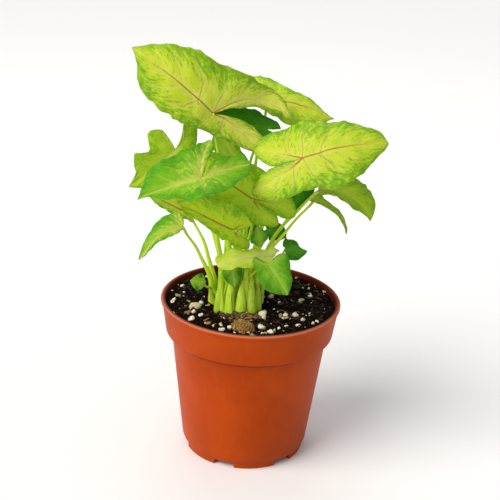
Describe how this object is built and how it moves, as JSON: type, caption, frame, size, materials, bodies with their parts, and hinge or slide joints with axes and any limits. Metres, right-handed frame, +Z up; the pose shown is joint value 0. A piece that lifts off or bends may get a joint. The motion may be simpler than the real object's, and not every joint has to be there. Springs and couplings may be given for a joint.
{
  "type": "potted arrowhead plant",
  "caption": "Bushy arrowhead plant with lime, pink-veined, arrow-shaped leaves on fleshy stalks, growing in a round terracotta-coloured plastic nursery pot of peat.",
  "frame": {"origin": "on the floor, under the middle of the pot", "axes": "+Z up; the front is -Y; the biggest leaf points to -X"},
  "size_m": [0.1491, 0.111, 0.2459],
  "materials": {
    "pot_plastic": "satin injection-moulded plastic with a faint grain",
    "peat": "matt, crumbly, dark, moist",
    "perlite": "matt, porous",
    "old_stem": "matt, fibrous, dry",
    "stem": "smooth, soft shine, fleshy",
    "leaf_yellow": "soft waxy shine, pale with pink-red veins and green mottling",
    "leaf_lime": "soft waxy shine, pale lime with pink-red veins",
    "leaf_green": "soft waxy shine, fresh green with pale veins",
    "leaf_dark": "soft waxy shine, deep green"
  },
  "bodies": {
    "root": {"pot": "pot_plastic", "soil": "peat", "crown": "stem", "old_stem_stub": "old_stem", "perlite_1": "perlite", "perlite_2": "perlite", "perlite_3": "perlite", "perlite_4": "perlite", "perlite_5": "perlite", "perlite_6": "perlite", "stalk_top_left": "stem", "blade_top_left": "leaf_yellow", "stalk_top_back": "stem", "blade_top_back": "leaf_lime", "stalk_right_front": "stem", "blade_right_front": "leaf_lime", "stalk_left_front": "stem", "blade_left_front": "leaf_green", "stalk_left_back": "stem", "blade_left_back": "leaf_green", "stalk_middle_back": "stem", "blade_middle_back": "leaf_green", "stalk_top_shade": "stem", "blade_top_shade": "leaf_dark", "stalk_lower_left_back": "stem", "blade_lower_left_back": "leaf_lime", "stalk_centre_left": "stem", "blade_centre_left": "leaf_green", "stalk_centre": "stem", "blade_centre": "leaf_lime", "stalk_right_shade": "stem", "blade_right_shade": "leaf_dark", "stalk_right_drooping": "stem", "blade_right_drooping": "leaf_green", "stalk_right_folded": "stem", "blade_right_folded": "leaf_green", "stalk_low_left": "stem", "blade_low_left": "leaf_green", "stalk_low_wavy": "stem", "blade_low_wavy": "leaf_lime", "stalk_low_middle": "stem", "blade_low_middle": "leaf_green", "stalk_low_right_back": "stem", "blade_low_right_back": "leaf_dark", "stalk_low_front": "stem", "blade_low_front": "leaf_green", "stalk_low_right": "stem", "blade_low_right": "leaf_dark", "stalk_young_front": "stem", "blade_young_front": "leaf_green", "stalk_young_left": "stem", "blade_young_left": "leaf_green", "stalk_back_left": "stem", "blade_back_left": "leaf_dark", "stalk_back_right": "stem", "blade_back_right": "leaf_dark", "stalk_back_low": "stem", "blade_back_low": "leaf_dark"}
  },
  "joints": []
}
